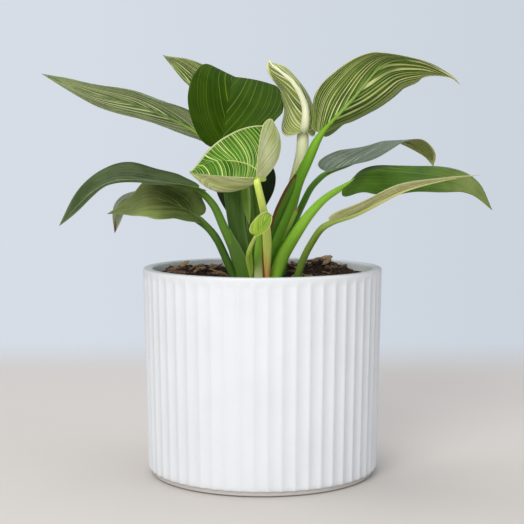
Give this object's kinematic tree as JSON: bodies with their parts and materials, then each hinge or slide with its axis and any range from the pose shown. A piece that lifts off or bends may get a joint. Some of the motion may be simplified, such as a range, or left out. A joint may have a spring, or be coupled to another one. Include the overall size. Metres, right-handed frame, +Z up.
{
  "type": "potted houseplant",
  "caption": "Young white-striped foliage houseplant with stalked leaves, standing in soil in a round fluted ceramic pot.",
  "frame": {"origin": "centre of the pot's flat underside", "axes": "+Z up, -Y towards the front of the plant, +X to its right as seen from the front"},
  "size_m": [0.3075, 0.1991, 0.2872],
  "materials": {
    "white_glazed_ceramic": "white satin glaze, inside and out, with an unglazed foot",
    "potting_mix": "rough dark brown mix of peat, bark chips and fibres",
    "leaf_far_left_green": "satin olive underside with cream stripes",
    "leaf_upper_left_green": "satin olive green with pale stripes",
    "leaf_heart_green": "glossy dark green with thin lime stripes",
    "leaf_front_striped_green": "satin bright green with dense cream stripes",
    "leaf_new_small_green": "soft satin lime green",
    "leaf_cream_top_green": "satin cream with green streaks",
    "leaf_upper_right_green": "satin green underside with dense cream stripes",
    "leaf_right_grey_green": "grey-green sheen with pale stripes",
    "leaf_right_long_green": "glossy mid green",
    "leaf_right_folded_green": "satin cream yellow with green streaks",
    "leaf_left_arching_green": "satin dark green with a pale midrib",
    "leaf_left_low_green": "satin olive green",
    "leaf_left_small_green": "satin dark olive with a brown tip",
    "leaf_back_green": "satin very dark green"
  },
  "bodies": {
    "root": {"pot": "white_glazed_ceramic", "potting_soil": "potting_mix", "leaf_far_left": "leaf_far_left_green", "leaf_upper_left": "leaf_upper_left_green", "leaf_heart": "leaf_heart_green", "leaf_front_striped": "leaf_front_striped_green", "leaf_new_small": "leaf_new_small_green", "leaf_cream_top": "leaf_cream_top_green", "leaf_upper_right": "leaf_upper_right_green", "leaf_right_grey": "leaf_right_grey_green", "leaf_right_long": "leaf_right_long_green", "leaf_right_folded": "leaf_right_folded_green", "leaf_left_arching": "leaf_left_arching_green", "leaf_left_low": "leaf_left_low_green", "leaf_left_small": "leaf_left_small_green", "leaf_back": "leaf_back_green"}
  },
  "joints": []
}
